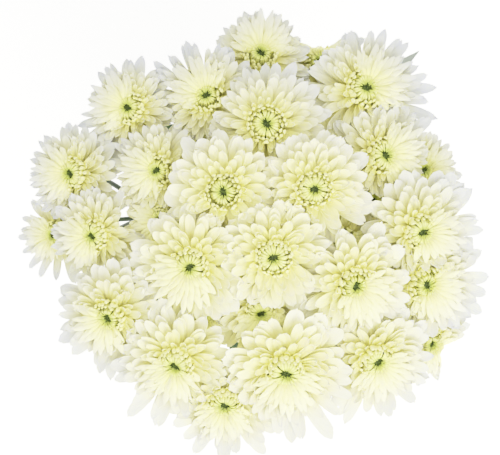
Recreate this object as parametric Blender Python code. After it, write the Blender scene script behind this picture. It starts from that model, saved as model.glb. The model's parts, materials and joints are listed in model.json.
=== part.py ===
"""A hand-tied bunch of white double chrysanthemums, standing on its cut stems.

The blooms grow on leafy spray stems. The stems cross in a spiral at a twine tie, splay
out below it and are cut level, so the bunch stands by itself. +Z is up, and the
photograph's view looks straight down on the blooms with +Y at its top.
"""

import math
import random

import bmesh
import bpy
from mathutils import Matrix, Quaternion, Vector

# Driving dimensions, in metres.
TIE_HEIGHT = 0.105
DOME_RADIUS = 0.240
LEAN_POLE = Vector((0.003, 0.045))
LEAN_GAIN = 0.9

# How deep a bloom is, and where its heart lies, as shares of its radius.
BASE_DEPTH = 0.62
HEART_DEPTH = 0.40
BASE_RADIUS = 0.17

PETALS_IN_ROW = 10
PETALS_IN_SMALL_ROW = 8
SMALL_BLOOM = 0.0315
# Each row of petals: tip radius, tip height, notch radius, root radius, root height.
# All are shares of the bloom's radius, and heights are measured from the eye.
PETAL_ROWS = (
    (1.00, -0.46, 0.80, 0.60, -0.37),
    (0.91, -0.23, 0.70, 0.48, -0.19),
    (0.71, -0.05, 0.53, 0.37, -0.07),
    (0.49, 0.05, 0.38, 0.30, -0.11),
)
BOSS_RINGS = ((0.26, -0.02), (0.12, 0.03))
EYE_DEPTH = 0.05
SHOULDER = 0.28

# Crowded blooms press on flat walls that they share.
WALL_GAP = 0.0006
WALL_LEAN = 1.4
FREE_SHARE = 0.80

OUTER_STEM_RADIUS = 0.0024
INNER_STEM_RADIUS = 0.0027
PEDICEL_RADIUS = 0.0014
CALYX_RADIUS_SHARE = 0.20
CALYX_HEIGHT = 0.0055
SEAT_GAP = 0.0003
OUTER_WAIST_RADIUS = 0.0091
INNER_WAIST_RADIUS = 0.0034
SPIRAL_LAG = math.radians(86)
OUTER_BRANCH_SHARE = 0.58
INNER_BRANCH_SHARE = 0.74
FIRST_STALK_DROP = 0.004
STALK_SPACING = 0.014
SIDES = 6

TIE_TURNS = 4
TIE_TWINE = 0.0020
TIE_STEPS = 18
TIE_CLEARANCE = 0.0010
TIE_EASE = 0.0003

LEAF_LENGTH = 0.058
LEAF_WIDTH = 0.036
LEAF_THICKNESS = 0.0009
LEAF_ARCH = 0.10
LEAF_DROOP = 0.22
LEAF_FOLD = 0.16
# Leaves of one spray: share of the way from tie to branch, turn in degrees, rise, size.
LEAVES = (
    ((0.50, -26, 0.28, 1.0), (0.84, 28, 0.28, 0.9)),
    ((0.66, 24, 0.28, 1.05), (0.97, -20, 0.28, 0.8)),
)
# The leaf on each outer spray's longest stalk: turn, rise, size. One shows past its bloom.
TOP_LEAF = (-35, 0.2, 0.62)
TOP_LEAVES = {"spray_north_east": (-18, 0.0, 0.95)}

PETAL_WHITE = (0.86, 0.85, 0.70)
STEM_GREEN = (0.10, 0.19, 0.06)
TWINE_BROWN = (0.45, 0.33, 0.18)

# Each bloom: spray, place of its eye across the bunch, its radius, and its height over
# the even dome. Lengths are in millimetres.
BLOOMS = {
    "bloom_01": ("north", 5, 109, 33, -8),
    "bloom_02": ("north_east", 71, 87, 38, -3),
    "bloom_03": ("north_west", -78, 75, 32, -1),
    "bloom_04": ("north", -29, 82, 33, -2),
    "bloom_05": ("north", 9, 65, 37, 2),
    "bloom_06": ("west", -114, 34, 32, -3),
    "bloom_07": ("north_west", -61, 36, 31, -4),
    "bloom_08": ("inner_north", -17, 22, 36, 6),
    "bloom_09": ("inner_north", -26, 52, 27, -19),
    "bloom_10": ("inner_east", 39, 24, 35, 6),
    "bloom_11": ("north_east", 83, 45, 35, -6),
    "bloom_12": ("east", 108, -2, 36, 3),
    "bloom_13": ("inner_east", 54, -6, 28, -17),
    "bloom_14": ("inner_south", 14, -19, 36, 5),
    "bloom_15": ("inner_south", -39, -25, 37, 4),
    "bloom_16": ("west", -100, -6, 31, -4),
    "bloom_17": ("west", -124, -1, 27, -16),
    "bloom_18": ("south_west", -90, -56, 34, 0),
    "bloom_19": ("inner_south", -30, -53, 28, -19),
    "bloom_20": ("inner_south", 5, -54, 31, -11),
    "bloom_21": ("south_east", 66, -36, 35, 4),
    "bloom_22": ("south_east", 113, -34, 37, -3),
    "bloom_23": ("south_west", -49, -88, 36, 0),
    "bloom_24": ("south", 21, -91, 38, 4),
    "bloom_25": ("south_east", 79, -86, 35, -1),
    "bloom_26": ("south", -17, -113, 34, -6),
    "bloom_27": ("east", 107, 36, 28, -17),
    "bloom_28": ("inner_north", -57, 5, 28, -13),
    "bloom_29": ("south_east", 112, -73, 28, -18),
    "bloom_30": ("north_east", 42, 104, 29, -20),
    "bloom_31": ("inner_east", 75, 17, 28, -20),
    "bloom_32": ("south", 41, -56, 25, -21),
}
# The sprays of each ring in their order round the tie, anticlockwise from above.
INNER_SPRAYS = ("inner_east", "inner_north", "inner_south")
OUTER_SPRAYS = ("east", "north_east", "north", "north_west", "west", "south_west", "south", "south_east")


class Bloom:
    """One flower head: where its eye is, which way it faces and where its heart lies."""

    def __init__(self, name, spray, x, y, radius, lift):
        self.name = name
        self.spray = spray
        self.radius = radius / 1000
        self.seed = int(name[-2:])
        across = Vector((x, y)) / 1000
        height = math.sqrt(DOME_RADIUS**2 - across.length_squared)
        self.eye = Vector((across.x, across.y, TIE_HEIGHT + height + lift / 1000))
        lean = (across - LEAN_POLE) / DOME_RADIUS * LEAN_GAIN
        self.axis = Vector((lean.x, lean.y, 1.0)).normalized()
        facing = Vector((0, 0, 1)).rotation_difference(self.axis)
        self.frame = Matrix.LocRotScale(self.eye, facing, None)
        self.heart = self.eye - self.axis * HEART_DEPTH * self.radius
        self.base = self.eye - self.axis * BASE_DEPTH * self.radius
        self.petals = PETALS_IN_SMALL_ROW if self.radius < SMALL_BLOOM else PETALS_IN_ROW
        self.walls = []

    def at(self, angle, radius, height):
        """A point round the bloom's axis, given in shares of its radius.

        Near a neighbour's wall the point is drawn back towards the heart.
        """
        round_axis = Vector((math.cos(angle) * radius, math.sin(angle) * radius, height))
        ray = self.frame @ (round_axis * self.radius) - self.heart
        room = math.inf
        for spot, normal in self.walls:
            rate = ray.dot(normal)
            if rate > 1e-6:
                room = min(room, (spot - self.heart).dot(normal) / rate)
        share = 1 / room
        if share > FREE_SHARE:
            left = 1 - FREE_SHARE
            ray *= (FREE_SHARE + left * math.tanh((share - FREE_SHARE) / left)) * room
        return self.frame.inverted() @ (self.heart + ray)


def share_walls(blooms):
    """Gives each pair of near blooms a flat wall; the higher bloom leans over the lower."""
    for i, one in enumerate(blooms):
        for two in blooms[i + 1:]:
            apart = two.heart - one.heart
            if apart.length > (one.radius + two.radius) * 1.1:
                continue
            up = (one.axis + two.axis).normalized()
            rise = apart.dot(up)
            normal = (apart - up * rise + up * rise * WALL_LEAN).normalized()
            middle = one.heart + apart * (one.radius / (one.radius + two.radius))
            one.walls.append((middle - normal * WALL_GAP / 2, normal))
            two.walls.append((middle + normal * WALL_GAP / 2, -normal))


def material(name, colour, roughness):
    made = bpy.data.materials.new(name)
    made.use_nodes = True
    shader = made.node_tree.nodes["Principled BSDF"]
    shader.inputs["Base Color"].default_value = (*colour, 1.0)
    shader.inputs["Roughness"].default_value = roughness
    shader.inputs["Metallic"].default_value = 0.0
    made.diffuse_color = (*colour, 1.0)
    return made


def object_from(bm, name, surface, frame=Matrix()):
    """A new object from a closed bmesh, with its faces turned outwards, set at its frame."""
    bmesh.ops.recalc_face_normals(bm, faces=bm.faces)
    mesh = bpy.data.meshes.new(name)
    bm.to_mesh(mesh)
    bm.free()
    mesh.materials.append(surface)
    made = bpy.data.objects.new(name, mesh)
    made.matrix_world = frame
    bpy.context.scene.collection.objects.link(made)
    return made


def add_bloom(bloom):
    """A double bloom: rows of petals stand out of one closed body, round a small boss."""
    bm = bmesh.new()
    draw = random.Random(bloom.seed)
    petals = bloom.petals
    step = 2 * math.pi / petals
    phase = draw.uniform(0, step)

    def ring(radius, height, turn):
        return [bm.verts.new(bloom.at(turn + k * step, radius, height)) for k in range(petals)]

    below = ring(BASE_RADIUS, -BASE_DEPTH, phase)
    bm.faces.new(below[::-1])
    for row, (tip, height, notch, root, root_height) in enumerate(PETAL_ROWS):
        # The ring below has its points under the middles of this row's petals.
        turn = phase + (row + 0.5) * step
        notch_height = root_height + (height - root_height) * (notch - root) / (tip - root)
        notches = ring(notch, notch_height, turn)
        roots = ring(root, root_height, turn)
        shoulders = []
        for k in range(petals):
            reach = tip * draw.uniform(0.94, 1.04)
            rise = height + draw.uniform(-0.03, 0.03)
            rib = turn + (k + 0.5) * step
            sides = (rib - SHOULDER * step, rib + SHOULDER * step)
            shoulders.append([bm.verts.new(bloom.at(side, reach, rise)) for side in sides])
        for k in range(petals):
            after = (k + 1) % petals
            left, right = shoulders[k]
            under, next_under = below[after], below[(k + 2) % petals]
            bm.faces.new((under, right, left))
            bm.faces.new((under, left, notches[k]))
            bm.faces.new((under, notches[after], right))
            bm.faces.new((under, next_under, notches[after]))
            bm.faces.new((roots[k], notches[k], left))
            bm.faces.new((roots[k], left, right, roots[after]))
            bm.faces.new((roots[after], right, notches[after]))
        below = roots
    for radius, height in BOSS_RINGS:
        above = ring(radius, height, phase + len(PETAL_ROWS) * step - step / 2)
        for k in range(petals):
            after = (k + 1) % petals
            bm.faces.new((below[k], below[after], above[after], above[k]))
        below = above
    eye = bm.verts.new(bloom.at(0, 0, -EYE_DEPTH))
    for k in range(petals):
        bm.faces.new((below[k], below[(k + 1) % petals], eye))
    return object_from(bm, bloom.name, material(bloom.name + "_petals", PETAL_WHITE, 0.6), bloom.frame)


def add_tube(name, points, radii, surface, level_start=False):
    """A closed round tube through the points, with its own radius at each of them."""
    bm = bmesh.new()
    last = len(points) - 1
    way = Vector((0, 0, 1))
    facing = Quaternion()
    loops = []
    for k, point in enumerate(points):
        ahead = (points[min(k + 1, last)] - points[max(k - 1, 0)]).normalized()
        if level_start and k == 0:
            ahead = Vector((0, 0, 1))
        facing = way.rotation_difference(ahead) @ facing
        way = ahead
        place = Matrix.LocRotScale(point, facing, None)
        capped = k in (0, last)
        ring = bmesh.ops.create_circle(bm, segments=SIDES, radius=radii[k], matrix=place, cap_ends=capped)
        loops.append({edge for vert in ring["verts"] for edge in vert.link_edges})
    for low, high in zip(loops, loops[1:]):
        bmesh.ops.bridge_loops(bm, edges=list(low | high))
    return object_from(bm, name, surface)


def curve_points(start, start_way, end, end_way, count):
    """Points on a smooth curve that leaves along start_way and arrives along end_way."""
    reach = (end - start).length * 0.4
    second = start + start_way * reach
    third = end - end_way * reach
    points = []
    for k in range(count):
        t = k / (count - 1)
        u = 1 - t
        points.append(start * u**3 + second * 3 * u * u * t + third * 3 * u * t * t + end * t**3)
    return points


def pedicel_route(start, way, bloom):
    """Points of a flower stalk, from the spray stem to the neck under its bloom."""
    neck = bloom.base - bloom.axis * (SEAT_GAP + CALYX_HEIGHT)
    leave = (way + (bloom.base - start).normalized()).normalized()
    return curve_points(start, leave, neck, bloom.axis, 5)


def add_pedicel(name, route, bloom, surface):
    """A flower stalk that flares into the green cup under its bloom."""
    cup = bloom.radius * CALYX_RADIUS_SHARE
    neck = route[-1]
    points = route + [neck + bloom.axis * CALYX_HEIGHT * 0.35, neck + bloom.axis * CALYX_HEIGHT]
    radii = [PEDICEL_RADIUS * swell for swell in (1.25, 1.15, 1.0, 1.0, 1.2)] + [cup * 0.85, cup]
    return add_tube(name, points, radii, surface)


# One half of a lobed leaf's edge: share of the length, share of the half width.
LEAF_EDGE = (
    (0.0, 0.07), (0.14, 0.08), (0.27, 0.62), (0.36, 0.30),
    (0.53, 1.0), (0.60, 0.42), (0.77, 0.78), (0.82, 0.36),
)
# The rib point that each edge point is tied to.
LEAF_RIB = (0.0, 0.14, 0.36, 0.60, 0.82)
LEAF_TIES = (0, 1, 2, 2, 3, 3, 4, 4)


def add_leaf(name, root, way, surface, size):
    """A thin lobed leaf, arched along its length and folded a little on its rib."""
    across = way.cross(Vector((0, 0, 1))).normalized()
    up = across.cross(way).normalized()
    length, half = LEAF_LENGTH * size, LEAF_WIDTH * size / 2
    bm = bmesh.new()

    def point(u, v):
        lift = length * (LEAF_ARCH * math.sin(math.pi * u) - LEAF_DROOP * u * u) + LEAF_FOLD * abs(v) * half
        return bm.verts.new(root + way * u * length + across * v * half + up * lift)

    rib = [point(u, 0) for u in LEAF_RIB]
    tip = point(1.0, 0)
    for side in (1, -1):
        edge = [point(u, side * v) for u, v in LEAF_EDGE]
        for k in range(len(edge) - 1):
            one, two = rib[LEAF_TIES[k]], rib[LEAF_TIES[k + 1]]
            bm.faces.new((one, edge[k], edge[k + 1])[::side])
            if one is not two:
                bm.faces.new((one, edge[k + 1], two)[::side])
        bm.faces.new((rib[-1], edge[-1], tip)[::side])
    bm.normal_update()
    bmesh.ops.solidify(bm, geom=bm.faces[:], thickness=LEAF_THICKNESS)
    bmesh.ops.triangulate(bm, faces=bm.faces[:])
    return object_from(bm, name, surface)


def joined(name, pieces, origin):
    """The pieces made one closed body by a single Boolean union, with its own origin."""
    body = pieces[0]
    group = bpy.data.collections.new(name + "_joined")
    bpy.context.scene.collection.children.link(group)
    for piece in pieces[1:]:
        bpy.context.scene.collection.objects.unlink(piece)
        group.objects.link(piece)
    union = body.modifiers.new("join", "BOOLEAN")
    union.operation = "UNION"
    union.operand_type = "COLLECTION"
    union.collection = group
    bpy.context.view_layer.update()
    graph = bpy.context.evaluated_depsgraph_get()
    mesh = bpy.data.meshes.new_from_object(body.evaluated_get(graph))
    body.modifiers.clear()
    body.data = mesh
    body.name = name
    mesh.transform(Matrix.Translation(-origin))
    body.location = origin
    for piece in list(group.objects):
        bpy.data.objects.remove(piece)
    bpy.data.collections.remove(group)
    return body


def turned(outward, degrees, rise):
    """A leaf's way: outwards, turned aside by some degrees, and rising."""
    swing = Matrix.Rotation(math.radians(degrees), 3, "Z")
    return (swing @ outward + Vector((0, 0, rise))).normalized()


def middle_of(blooms):
    """The middle of the seats of a spray's blooms."""
    return sum((bloom.base for bloom in blooms), Vector()) / len(blooms)


def add_spray(name, blooms, waist, radius, share, leaves):
    """One spray stem, from its level cut end through the tie to its blooms, with leaves.

    Its leaves are given as in LEAVES.
    """
    surface = material(name + "_green", STEM_GREEN, 0.55)
    aim = middle_of(blooms)
    way = (aim - waist).normalized()
    foot = waist - way * (waist.z / way.z)
    branch = waist + (aim - waist) * share
    points = [foot + (branch - foot) * k / 4 for k in range(5)]
    radii = [radius, radius, radius, radius * 0.95, radius * 0.85]
    pieces = [add_tube(name + "_stem", points, radii, surface, level_start=True)]
    routes = {}
    ordered = sorted(blooms, key=lambda b: (b.base - branch).length, reverse=True)
    for k, bloom in enumerate(ordered):
        start = branch - way * (FIRST_STALK_DROP + STALK_SPACING * k)
        routes[bloom] = pedicel_route(start, way, bloom)
        pieces.append(add_pedicel(f"{name}_stalk_{k}", routes[bloom], bloom, surface))
    outward = Vector((way.x, way.y, 0)).normalized()
    for k, (along, turn, rise, size) in enumerate(leaves):
        root = waist + (branch - waist) * along
        pieces.append(add_leaf(f"{name}_leaf_{k}", root, turned(outward, turn, rise), surface, size))
    if leaves:
        outermost = max(blooms, key=lambda b: b.base.dot(outward))
        root = routes[outermost][3]
        turn, rise, size = TOP_LEAVES.get(name, TOP_LEAF)
        pieces.append(add_leaf(f"{name}_top_leaf", root, turned(outward, turn, rise), surface, size))
    return joined(name, pieces, foot)


def add_ring_of_sprays(names, by_spray, waist_radius, stem_radius, share, leaves):
    """Sprays whose stems cross in a spiral, evenly round the tie."""
    for k, name in enumerate(names):
        blooms = by_spray[name]
        aim = middle_of(blooms)
        even = 2 * math.pi * k / len(names)
        off = math.remainder(math.atan2(aim.y, aim.x) - even, 2 * math.pi)
        angle = even + off / 2 - SPIRAL_LAG
        waist = Vector((math.cos(angle) * waist_radius, math.sin(angle) * waist_radius, TIE_HEIGHT))
        picked = leaves[k % len(leaves)] if leaves else ()
        add_spray("spray_" + name, blooms, waist, stem_radius, share, picked)


def add_tie():
    """Twine wound round the stems where they cross, as one ribbed ring."""
    bm = bmesh.new()
    inner = OUTER_WAIST_RADIUS + OUTER_STEM_RADIUS + TIE_CLEARANCE
    low = -TIE_TURNS * TIE_TWINE / 2
    profile = [(inner, low + TIE_EASE), (inner, -low - TIE_EASE)]
    for k in reversed(range(TIE_TURNS)):
        top = low + (k + 1) * TIE_TWINE
        profile += [(inner + TIE_TWINE * 0.55, top), (inner + TIE_TWINE, top - TIE_TWINE / 2)]
    profile.append((inner + TIE_TWINE * 0.55, low))
    ring = [bm.verts.new((r, 0, z)) for r, z in profile]
    edges = [bm.edges.new(pair) for pair in zip(ring, ring[1:] + ring[:1])]
    turn = {"cent": (0, 0, 0), "axis": (0, 0, 1), "angle": 2 * math.pi, "steps": TIE_STEPS}
    bmesh.ops.spin(bm, geom=ring + edges, use_merge=True, **turn)
    surface = material("twine_tie_brown", TWINE_BROWN, 0.9)
    return object_from(bm, "twine_tie", surface, Matrix.Translation((0, 0, TIE_HEIGHT)))


def main():
    for old in list(bpy.data.objects):
        bpy.data.objects.remove(old)

    blooms = [Bloom(name, *facts) for name, facts in BLOOMS.items()]
    share_walls(blooms)
    by_spray = {}
    for bloom in blooms:
        add_bloom(bloom)
        by_spray.setdefault(bloom.spray, []).append(bloom)

    inner = (INNER_WAIST_RADIUS, INNER_STEM_RADIUS, INNER_BRANCH_SHARE, ())
    outer = (OUTER_WAIST_RADIUS, OUTER_STEM_RADIUS, OUTER_BRANCH_SHARE, LEAVES)
    add_ring_of_sprays(INNER_SPRAYS, by_spray, *inner)
    add_ring_of_sprays(OUTER_SPRAYS, by_spray, *outer)
    add_tie()


main()
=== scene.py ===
import json
import math
import random

import bmesh
import bpy
from mathutils import Matrix, Quaternion, Vector

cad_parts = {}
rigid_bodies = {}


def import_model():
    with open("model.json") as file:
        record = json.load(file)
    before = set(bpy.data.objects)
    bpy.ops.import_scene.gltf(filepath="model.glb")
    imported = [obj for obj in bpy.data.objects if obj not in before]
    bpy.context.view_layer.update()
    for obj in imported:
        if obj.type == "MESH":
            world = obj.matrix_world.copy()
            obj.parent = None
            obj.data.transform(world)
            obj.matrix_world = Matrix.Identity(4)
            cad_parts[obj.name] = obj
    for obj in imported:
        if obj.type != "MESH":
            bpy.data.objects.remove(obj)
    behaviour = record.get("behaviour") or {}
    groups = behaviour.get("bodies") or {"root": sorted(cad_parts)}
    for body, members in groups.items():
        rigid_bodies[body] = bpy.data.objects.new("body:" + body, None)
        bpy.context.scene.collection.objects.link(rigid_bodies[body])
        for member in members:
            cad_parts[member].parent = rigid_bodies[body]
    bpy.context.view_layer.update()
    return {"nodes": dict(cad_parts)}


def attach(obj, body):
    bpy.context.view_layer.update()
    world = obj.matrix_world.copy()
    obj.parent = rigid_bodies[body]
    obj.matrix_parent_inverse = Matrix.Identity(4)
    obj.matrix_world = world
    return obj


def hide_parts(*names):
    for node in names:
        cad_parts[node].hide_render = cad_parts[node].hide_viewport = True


# the looks of a hand-tied bunch of white double chrysanthemums, seen from straight above
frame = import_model()
cadNodes = frame["nodes"]
collection = bpy.context.scene.collection
print("frame loaded:", len(cadNodes), "CAD nodes")


# the bunch: the same places and proportions as in the CAD, lengths in metres
bunch = {
    "tieHeight": 0.105,
    "domeRadius": 0.240,
    "leanPole": (0.003, 0.045),  # the bloom that would stand upright
    "leanGain": 0.9,
    "baseDepth": 0.62,  # shares of a bloom's radius, down from its eye
    "heartDepth": 0.40,
    "wallLean": 1.4,  # how far a higher bloom leans over a lower one
    "nearShare": 1.1,
    # a bloom's top starts to lean this far below its eye, and has its full lean so much higher
    "topLeanFrom": 0.50,
    "topLeanOver": 0.42,
}

# spray, then the eye's place across the bunch, the radius and the lift in millimetres
bloomPlaces = {
    "bloom_01": ("north", 5, 109, 33, -8),
    "bloom_02": ("north_east", 71, 87, 38, -3),
    "bloom_03": ("north_west", -78, 75, 32, -1),
    "bloom_04": ("north", -29, 82, 33, -2),
    "bloom_05": ("north", 9, 65, 37, 2),
    "bloom_06": ("west", -114, 34, 32, -3),
    "bloom_07": ("north_west", -61, 36, 31, -4),
    "bloom_08": ("inner_north", -17, 22, 36, 6),
    "bloom_09": ("inner_north", -26, 52, 27, -19),
    "bloom_10": ("inner_east", 39, 24, 35, 6),
    "bloom_11": ("north_east", 83, 45, 35, -6),
    "bloom_12": ("east", 108, -2, 36, 3),
    "bloom_13": ("inner_east", 54, -6, 28, -17),
    "bloom_14": ("inner_south", 14, -19, 36, 5),
    "bloom_15": ("inner_south", -39, -25, 37, 4),
    "bloom_16": ("west", -100, -6, 31, -4),
    "bloom_17": ("west", -124, -1, 27, -16),
    "bloom_18": ("south_west", -90, -56, 34, 0),
    "bloom_19": ("inner_south", -30, -53, 28, -19),
    "bloom_20": ("inner_south", 5, -54, 31, -11),
    "bloom_21": ("south_east", 66, -36, 35, 4),
    "bloom_22": ("south_east", 113, -34, 37, -3),
    "bloom_23": ("south_west", -49, -88, 36, 0),
    "bloom_24": ("south", 21, -91, 38, 4),
    "bloom_25": ("south_east", 79, -86, 35, -1),
    "bloom_26": ("south", -17, -113, 34, -6),
    "bloom_27": ("east", 107, 36, 28, -17),
    "bloom_28": ("inner_north", -57, 5, 28, -13),
    "bloom_29": ("south_east", 112, -73, 28, -18),
    "bloom_30": ("north_east", 42, 104, 29, -20),
    "bloom_31": ("inner_east", 75, 17, 28, -20),
    "bloom_32": ("south", 41, -56, 25, -21),
}


# how far each bloom's top leans over from its own axis, across the bunch in millimetres
usualLean = (0.0, 2.9)
topLeans = {
    "bloom_01": (0.2, 2.9),
    "bloom_02": (0.0, 3.2),
    "bloom_03": (0.2, 2.5),
    "bloom_04": (0.0, 3.2),
    "bloom_05": (-0.3, 2.3),
    "bloom_06": (0.2, 2.6),
    "bloom_07": (1.2, 2.4),
    "bloom_08": (-1.3, 3.1),
    "bloom_09": (2.1, 1.0),
    "bloom_10": (-0.6, 2.7),
    "bloom_11": (-0.2, 3.0),
    "bloom_12": (-2.0, 1.9),
    "bloom_13": (2.4, 0.1),
    "bloom_14": (-0.9, 3.2),
    "bloom_15": (0.0, 3.4),
    "bloom_16": (0.0, 3.8),
    "bloom_17": (-0.3, -0.6),
    "bloom_18": (-0.2, 2.4),
    "bloom_19": (0.0, 2.8),
    "bloom_20": (0.3, 3.5),
    "bloom_21": (-1.8, 2.5),
    "bloom_22": (-4.4, 1.1),
    "bloom_23": (0.6, 4.8),
    "bloom_24": (-0.2, 3.0),
    "bloom_25": (-0.9, 5.0),
    "bloom_26": (-0.4, 5.0),
}

# petals that are longer or shorter than the rest: a direction across the bunch in degrees, and by how much
reachBy = {
    "bloom_01": ((65, -0.14), (125, -0.14), (155, -0.10)),
    "bloom_02": ((0, 0.23), (55, 0.15), (105, -0.07)),
    "bloom_03": ((70, -0.14), (105, 0.08), (140, -0.16)),
    "bloom_04": ((90, 0.06), (140, 0.12), (172, 0.10)),
    "bloom_06": ((100, -0.12), (180, -0.12)),
    "bloom_12": ((20, 0.18),),
    "bloom_16": ((-115, -0.10), (-42, 0.14)),
    "bloom_17": ((140, -0.12), (-110, 0.12)),
    "bloom_18": ((195, 0.06), (21, 0.14), (63, 0.10), (-119, 0.14), (140, -0.10)),
    "bloom_22": ((-17, 0.20),),
    "bloom_23": ((236, 0.18), (204, 0.08), (-94, 0.10), (107, 0.12)),
    "bloom_24": ((-50, 0.40), (-90, 0.12)),
    "bloom_25": ((-120, 0.12), (-40, 0.08)),
    "bloom_26": ((-63, 0.12), (-106, 0.10)),
    "bloom_27": ((45, -0.18),),
}

# where the floor shows between the blooms, or the outline falls back: across the bunch, and a radius,
# in millimetres
openings = (
    (-86.6, 29.3, 3.0),
    (-80.6, 13.2, 2.3),
    (-78.6, 5.0, 3.2),
    (-87.0, 47.0, 1.2),
    (-99.0, 57.0, 1.0),
    (-68.2, 63.4, 1.1),
    (-52.7, 64.5, 2.2),
    (103.2, 111.9, 8.0),
    (42.5, 125.6, 14.0),
    (126.0, -80.0, 9.0),
)
leafOpenings = openings[:3]  # the gaps on the left, where no leaf shows either

# how petals grow in some directions, and how they leave the openings free
trimming = {
    "growthSpread": 32,  # degrees to a side over which longer petals fade into the rest
    "near": 1.6,  # how far from its eye a bloom looks for openings, in shares of its radius
    # the spots of a petal that are tried, in shares of its length and half width
    "along": (0.5, 0.6, 0.7, 0.8, 0.9, 1.0),
    "across": (-0.85, -0.4, 0.0, 0.4, 0.85),
    "narrowing": 1.4,
    "step": 0.05,
    "least": 0.40,
}


# where something is that stands on a spot along an axis
def standing(spot, axis):
    return Matrix.LocRotScale(spot, Vector((0, 0, 1)).rotation_difference(axis), None)


class FlowerHead:
    def __init__(self, name, spray, x, y, radius, lift):
        self.name = name
        self.spray = spray
        self.radius = radius / 1000
        self.topLean = Vector((*topLeans.get(name, usualLean), 0.0)) / 1000
        self.reachBy = reachBy.get(name, ())
        self.seed = int(name[-2:])
        across = Vector((x, y)) / 1000
        height = math.sqrt(bunch["domeRadius"] ** 2 - across.length_squared)
        self.eye = Vector((across.x, across.y, bunch["tieHeight"] + height + lift / 1000))
        lean = (across - Vector(bunch["leanPole"])) / bunch["domeRadius"] * bunch["leanGain"]
        self.axis = Vector((lean.x, lean.y, 1.0)).normalized()
        self.place = standing(self.eye, self.axis)
        self.heart = self.eye - self.axis * bunch["heartDepth"] * self.radius
        self.base = self.eye - self.axis * bunch["baseDepth"] * self.radius
        # the way that the bloom leans, among its own petals
        self.downhill = self.place.to_3x3().inverted() @ Vector((self.axis.x, self.axis.y, 0))
        self.low = math.atan2(self.downhill.y, self.downhill.x)
        self.walls = []
        self.holes = []
        for x, y, wide in openings:
            hole = Vector((x, y)) / 1000
            if (hole - across).length < self.radius * trimming["near"] + wide / 1000:
                self.holes.append((hole, wide / 1000))

    # how much longer or shorter than the rest a petal in this direction grows
    def growth(self, angle):
        way = self.place.to_3x3() @ Vector((math.cos(angle), math.sin(angle), 0))
        bearing = math.degrees(math.atan2(way.y, way.x))
        spread = trimming["growthSpread"]
        off = [(math.remainder(bearing - degrees, 360) / spread, gain) for degrees, gain in self.reachBy]
        return 1 + sum(gain * math.exp(-apart * apart) for apart, gain in off)

    # the share of its length at which a petal leaves the openings free
    def clearance(self, angle, radial, height, half):
        share = 1.0
        while self.holes and share > trimming["least"]:
            spots = []
            for far in trimming["along"]:
                for side in trimming["across"]:
                    flat = Vector((radial * share * far, half * side * (trimming["narrowing"] - far)))
                    turned = Matrix.Rotation(angle, 2) @ flat
                    spots.append((self.place @ (Vector((*turned, height * far)) * self.radius)).xy)
            if all((spot - hole).length > wide for spot in spots for hole, wide in self.holes):
                break
            share -= trimming["step"]
        return share

    # how far out to the nearest neighbour's wall a point is, as a share; above 1 it is past it
    def crowding(self, local):
        ray = self.place @ local - self.heart
        share = 0
        for spot, normal in self.walls:
            rate = ray.dot(normal)
            if rate > 1e-6:
                share = max(share, rate / (spot - self.heart).dot(normal))
        return share


# between two neighbours stands a wall that holds back the petals of both, tilted over the lower bloom
heads = [FlowerHead(name, *facts) for name, facts in bloomPlaces.items()]
for number, one in enumerate(heads):
    for two in heads[number + 1:]:
        apart = two.heart - one.heart
        if apart.length > (one.radius + two.radius) * bunch["nearShare"]:
            continue
        up = (one.axis + two.axis).normalized()
        rise = apart.dot(up)
        normal = (apart - up * rise + up * rise * bunch["wallLean"]).normalized()
        middle = one.heart + apart * (one.radius / (one.radius + two.radius))
        one.walls.append((middle, normal))
        two.walls.append((middle, -normal))


def newNodeMaterial(name, looks):
    made = bpy.data.materials.new(name)
    made.use_nodes = True
    nodes, links = made.node_tree.nodes, made.node_tree.links
    shader = nodes["Principled BSDF"]
    for label, value in looks.items():
        shader.inputs[label].default_value = value
    return made, nodes, links, shader


# the object that a finished mesh becomes; "way" served only to thicken its sheets
def addObject(name, bm, materials):
    mesh = bpy.data.meshes.new(name)
    bm.to_mesh(mesh)
    bm.free()
    if "way" in mesh.attributes:
        mesh.attributes.remove(mesh.attributes["way"])
    for material in materials:
        mesh.materials.append(material)
    made = bpy.data.objects.new(name, mesh)
    collection.objects.link(made)
    return made


def addRamp(nodes, links, value, stops):
    ramp = nodes.new("ShaderNodeValToRGB")
    ramp.color_ramp.interpolation = "EASE"
    elements = ramp.color_ramp.elements
    while len(elements) < len(stops):
        elements.new(0.5)
    for element, (position, colour) in zip(elements, stops):
        element.position = position
        element.color = (*colour, 1.0)
    links.new(value, ramp.inputs[0])
    return ramp.outputs[0]


def addNoise(nodes, links, place, scale, detail=2.0):
    noise = nodes.new("ShaderNodeTexNoise")
    noise.inputs["Scale"].default_value = scale
    noise.inputs["Detail"].default_value = detail
    links.new(place, noise.inputs["Vector"])
    return noise.outputs[0]


def objectPlace(nodes):
    return nodes.new("ShaderNodeTexCoord").outputs["Object"]


def splitVector(nodes, links, vector):
    split = nodes.new("ShaderNodeSeparateXYZ")
    links.new(vector, split.inputs[0])
    return tuple(split.outputs)


# the three values that a mesh carries at its vertices under this name
def readValues(nodes, links, name):
    stored = nodes.new("ShaderNodeAttribute")
    stored.attribute_name = name
    return splitVector(nodes, links, stored.outputs["Vector"])


def addMath(nodes, links, operation, first, second, third=None):
    step = nodes.new("ShaderNodeMath")
    step.operation = operation
    for slot, value in enumerate((first, second, third)):
        if value is None:
            continue
        if isinstance(value, (int, float)):
            step.inputs[slot].default_value = value
        else:
            links.new(value, step.inputs[slot])
    return step.outputs[0]


def addMix(nodes, links, share, first, second):
    mixed = nodes.new("ShaderNodeMix")
    mixed.data_type = "RGBA"
    links.new(share, mixed.inputs["Factor"])
    for label, value in (("A", first), ("B", second)):
        if isinstance(value, tuple):
            mixed.inputs[label].default_value = (*value, 1.0)
        else:
            links.new(value, mixed.inputs[label])
    return mixed.outputs["Result"]


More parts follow.
